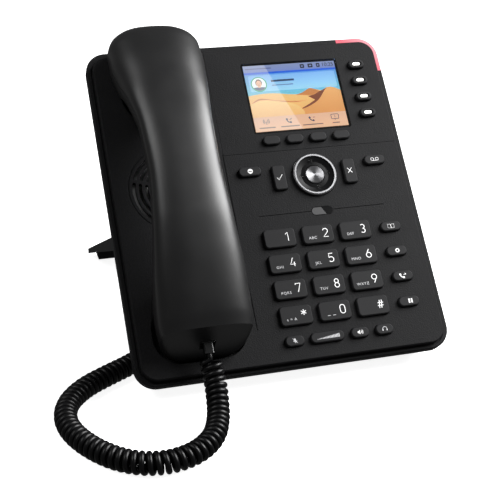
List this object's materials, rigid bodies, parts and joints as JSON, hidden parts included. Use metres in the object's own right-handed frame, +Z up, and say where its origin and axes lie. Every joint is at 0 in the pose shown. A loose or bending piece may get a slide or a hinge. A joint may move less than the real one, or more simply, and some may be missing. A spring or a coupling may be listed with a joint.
{
  "type": "desk ip phone",
  "caption": "Black desk telephone: tilted face with keys and colour display on a rear stand, handset in a cradle, curly cord from handset to the base.",
  "frame": {"origin": "on the table, under the centre of the phone's footprint, the cord left out", "axes": "+Z up, +Y towards the back of the phone, +X to the right as seen by its user"},
  "size_m": [0.2227, 0.2686, 0.1736],
  "materials": {
    "housing_plastic": "fine spark-eroded texture",
    "rear_plastic": "fine texture",
    "key_plastic": "fine texture",
    "handset_plastic": "satin",
    "clear_window": "gloss",
    "smoked_window": "gloss",
    "display_panel": "gloss",
    "call_lamp": "frosted",
    "circuit_board": "solder mask",
    "silicone_rubber": "matt",
    "black_rubber": "matt",
    "screw_steel": "zinc plated",
    "bright_metal": "brushed",
    "socket_plastic": "plain",
    "plug_plastic": "clear tinted",
    "cord_jacket": "satin"
  },
  "bodies": {
    "root": {"cord_coil": "cord_jacket", "cord_leads": "cord_jacket", "cord_plug_base": "plug_plastic", "display_bezel": "housing_plastic", "display_window": "clear_window", "front_housing": "housing_plastic", "handset_jacks": "socket_plastic", "housing_screws": "screw_steel", "keypad_mat": "silicone_rubber", "lcd_module": "display_panel", "light_bar": "call_lamp", "loudspeaker": "screw_steel", "main_board": "circuit_board", "network_jacks": "socket_plastic", "rear_housing": "rear_plastic", "rubber_feet": "black_rubber", "sensor_window": "smoked_window", "stand": "rear_plastic"},
    "hook": {"hook_plunger": "key_plastic"},
    "handset": {"handset_upper_shell": "handset_plastic", "handset_lower_shell": "handset_plastic", "handset_socket": "socket_plastic", "receiver_capsule": "screw_steel", "microphone": "screw_steel", "cord_plug_handset": "plug_plastic"},
    "volume_rocker": {"volume_rocker": "key_plastic"},
    "navigation_pivot": {"navigation_pivot": "socket_plastic"},
    "navigation_ring": {"navigation_ring": "bright_metal"},
    "centre_button": {"centre_button": "bright_metal"},
    "key_cancel": {"key_cancel": "key_plastic"},
    "key_confirm": {"key_confirm": "key_plastic"},
    "key_directory": {"key_directory": "key_plastic"},
    "key_do_not_disturb": {"key_do_not_disturb": "key_plastic"},
    "key_eight": {"key_eight": "key_plastic"},
    "key_five": {"key_five": "key_plastic"},
    "key_four": {"key_four": "key_plastic"},
    "key_hash": {"key_hash": "key_plastic"},
    "key_headset": {"key_headset": "key_plastic"},
    "key_hold": {"key_hold": "key_plastic"},
    "key_mute": {"key_mute": "key_plastic"},
    "key_nine": {"key_nine": "key_plastic"},
    "key_one": {"key_one": "key_plastic"},
    "key_settings": {"key_settings": "key_plastic"},
    "key_seven": {"key_seven": "key_plastic"},
    "key_six": {"key_six": "key_plastic"},
    "key_speaker": {"key_speaker": "key_plastic"},
    "key_star": {"key_star": "key_plastic"},
    "key_three": {"key_three": "key_plastic"},
    "key_transfer": {"key_transfer": "key_plastic"},
    "key_two": {"key_two": "key_plastic"},
    "key_voicemail": {"key_voicemail": "key_plastic"},
    "key_zero": {"key_zero": "key_plastic"},
    "line_key_1": {"line_key_1": "key_plastic"},
    "line_key_2": {"line_key_2": "key_plastic"},
    "line_key_3": {"line_key_3": "key_plastic"},
    "line_key_4": {"line_key_4": "key_plastic"},
    "soft_key_1": {"soft_key_1": "key_plastic"},
    "soft_key_2": {"soft_key_2": "key_plastic"},
    "soft_key_3": {"soft_key_3": "key_plastic"},
    "soft_key_4": {"soft_key_4": "key_plastic"}
  },
  "joints": [
    {"name": "handset_lift", "type": "slide", "parent": "root", "child": "handset", "axis": [0, -0.7254, 0.6884], "range_m": [0, 0.12]},
    {"name": "hook_travel", "type": "slide", "parent": "root", "child": "hook", "axis": [0, -0.7254, 0.6884], "range_m": [0, 0.004]},
    {"name": "volume_rocker_tilt", "type": "hinge", "parent": "root", "child": "volume_rocker", "pos_m": [0.0168, -0.08696, 0.02088], "axis": [0, 0.6884, 0.7254], "range_deg": [-2.5, 2.5], "stiffness_Nm_per_rad": 0.05},
    {"name": "navigation_up_down", "type": "hinge", "parent": "root", "child": "navigation_pivot", "pos_m": [0.0305, -0.02064, 0.08946], "axis": [1, 0, 0], "range_deg": [-2, 2], "stiffness_Nm_per_rad": 0.08},
    {"name": "navigation_left_right", "type": "hinge", "parent": "navigation_pivot", "child": "navigation_ring", "pos_m": [0.0305, -0.02064, 0.08946], "axis": [0, 0.6884, 0.7254], "range_deg": [-2, 2], "stiffness_Nm_per_rad": 0.08},
    {"name": "centre_button_press", "type": "slide", "parent": "navigation_ring", "child": "centre_button", "axis": [0, 0.7254, -0.6884], "range_m": [0, 0.0008], "stiffness_N_per_m": 1000},
    {"name": "key_cancel_press", "type": "slide", "parent": "root", "child": "key_cancel", "axis": [0, 0.7254, -0.6884], "range_m": [0, 0.0012], "stiffness_N_per_m": 800},
    {"name": "key_confirm_press", "type": "slide", "parent": "root", "child": "key_confirm", "axis": [0, 0.7254, -0.6884], "range_m": [0, 0.0012], "stiffness_N_per_m": 800},
    {"name": "key_directory_press", "type": "slide", "parent": "root", "child": "key_directory", "axis": [0, 0.7254, -0.6884], "range_m": [0, 0.0012], "stiffness_N_per_m": 800},
    {"name": "key_do_not_disturb_press", "type": "slide", "parent": "root", "child": "key_do_not_disturb", "axis": [0, 0.7254, -0.6884], "range_m": [0, 0.0012], "stiffness_N_per_m": 800},
    {"name": "key_eight_press", "type": "slide", "parent": "root", "child": "key_eight", "axis": [0, 0.7254, -0.6884], "range_m": [0, 0.0012], "stiffness_N_per_m": 800},
    {"name": "key_five_press", "type": "slide", "parent": "root", "child": "key_five", "axis": [0, 0.7254, -0.6884], "range_m": [0, 0.0012], "stiffness_N_per_m": 800},
    {"name": "key_four_press", "type": "slide", "parent": "root", "child": "key_four", "axis": [0, 0.7254, -0.6884], "range_m": [0, 0.0012], "stiffness_N_per_m": 800},
    {"name": "key_hash_press", "type": "slide", "parent": "root", "child": "key_hash", "axis": [0, 0.7254, -0.6884], "range_m": [0, 0.0012], "stiffness_N_per_m": 800},
    {"name": "key_headset_press", "type": "slide", "parent": "root", "child": "key_headset", "axis": [0, 0.7254, -0.6884], "range_m": [0, 0.0012], "stiffness_N_per_m": 800},
    {"name": "key_hold_press", "type": "slide", "parent": "root", "child": "key_hold", "axis": [0, 0.7254, -0.6884], "range_m": [0, 0.0012], "stiffness_N_per_m": 800},
    {"name": "key_mute_press", "type": "slide", "parent": "root", "child": "key_mute", "axis": [0, 0.7254, -0.6884], "range_m": [0, 0.0012], "stiffness_N_per_m": 800},
    {"name": "key_nine_press", "type": "slide", "parent": "root", "child": "key_nine", "axis": [0, 0.7254, -0.6884], "range_m": [0, 0.0012], "stiffness_N_per_m": 800},
    {"name": "key_one_press", "type": "slide", "parent": "root", "child": "key_one", "axis": [0, 0.7254, -0.6884], "range_m": [0, 0.0012], "stiffness_N_per_m": 800},
    {"name": "key_settings_press", "type": "slide", "parent": "root", "child": "key_settings", "axis": [0, 0.7254, -0.6884], "range_m": [0, 0.0012], "stiffness_N_per_m": 800},
    {"name": "key_seven_press", "type": "slide", "parent": "root", "child": "key_seven", "axis": [0, 0.7254, -0.6884], "range_m": [0, 0.0012], "stiffness_N_per_m": 800},
    {"name": "key_six_press", "type": "slide", "parent": "root", "child": "key_six", "axis": [0, 0.7254, -0.6884], "range_m": [0, 0.0012], "stiffness_N_per_m": 800},
    {"name": "key_speaker_press", "type": "slide", "parent": "root", "child": "key_speaker", "axis": [0, 0.7254, -0.6884], "range_m": [0, 0.0012], "stiffness_N_per_m": 800},
    {"name": "key_star_press", "type": "slide", "parent": "root", "child": "key_star", "axis": [0, 0.7254, -0.6884], "range_m": [0, 0.0012], "stiffness_N_per_m": 800},
    {"name": "key_three_press", "type": "slide", "parent": "root", "child": "key_three", "axis": [0, 0.7254, -0.6884], "range_m": [0, 0.0012], "stiffness_N_per_m": 800},
    {"name": "key_transfer_press", "type": "slide", "parent": "root", "child": "key_transfer", "axis": [0, 0.7254, -0.6884], "range_m": [0, 0.0012], "stiffness_N_per_m": 800},
    {"name": "key_two_press", "type": "slide", "parent": "root", "child": "key_two", "axis": [0, 0.7254, -0.6884], "range_m": [0, 0.0012], "stiffness_N_per_m": 800},
    {"name": "key_voicemail_press", "type": "slide", "parent": "root", "child": "key_voicemail", "axis": [0, 0.7254, -0.6884], "range_m": [0, 0.0012], "stiffness_N_per_m": 800},
    {"name": "key_zero_press", "type": "slide", "parent": "root", "child": "key_zero", "axis": [0, 0.7254, -0.6884], "range_m": [0, 0.0012], "stiffness_N_per_m": 800},
    {"name": "line_key_1_press", "type": "slide", "parent": "root", "child": "line_key_1", "axis": [0, 0.7254, -0.6884], "range_m": [0, 0.0012], "stiffness_N_per_m": 800},
    {"name": "line_key_2_press", "type": "slide", "parent": "root", "child": "line_key_2", "axis": [0, 0.7254, -0.6884], "range_m": [0, 0.0012], "stiffness_N_per_m": 800},
    {"name": "line_key_3_press", "type": "slide", "parent": "root", "child": "line_key_3", "axis": [0, 0.7254, -0.6884], "range_m": [0, 0.0012], "stiffness_N_per_m": 800},
    {"name": "line_key_4_press", "type": "slide", "parent": "root", "child": "line_key_4", "axis": [0, 0.7254, -0.6884], "range_m": [0, 0.0012], "stiffness_N_per_m": 800},
    {"name": "soft_key_1_press", "type": "slide", "parent": "root", "child": "soft_key_1", "axis": [0, 0.7254, -0.6884], "range_m": [0, 0.0012], "stiffness_N_per_m": 800},
    {"name": "soft_key_2_press", "type": "slide", "parent": "root", "child": "soft_key_2", "axis": [0, 0.7254, -0.6884], "range_m": [0, 0.0012], "stiffness_N_per_m": 800},
    {"name": "soft_key_3_press", "type": "slide", "parent": "root", "child": "soft_key_3", "axis": [0, 0.7254, -0.6884], "range_m": [0, 0.0012], "stiffness_N_per_m": 800},
    {"name": "soft_key_4_press", "type": "slide", "parent": "root", "child": "soft_key_4", "axis": [0, 0.7254, -0.6884], "range_m": [0, 0.0012], "stiffness_N_per_m": 800}
  ],
  "couplings": [
    {"joint": "hook_travel", "follows": "handset_lift", "ratio": 0.0333}
  ]
}
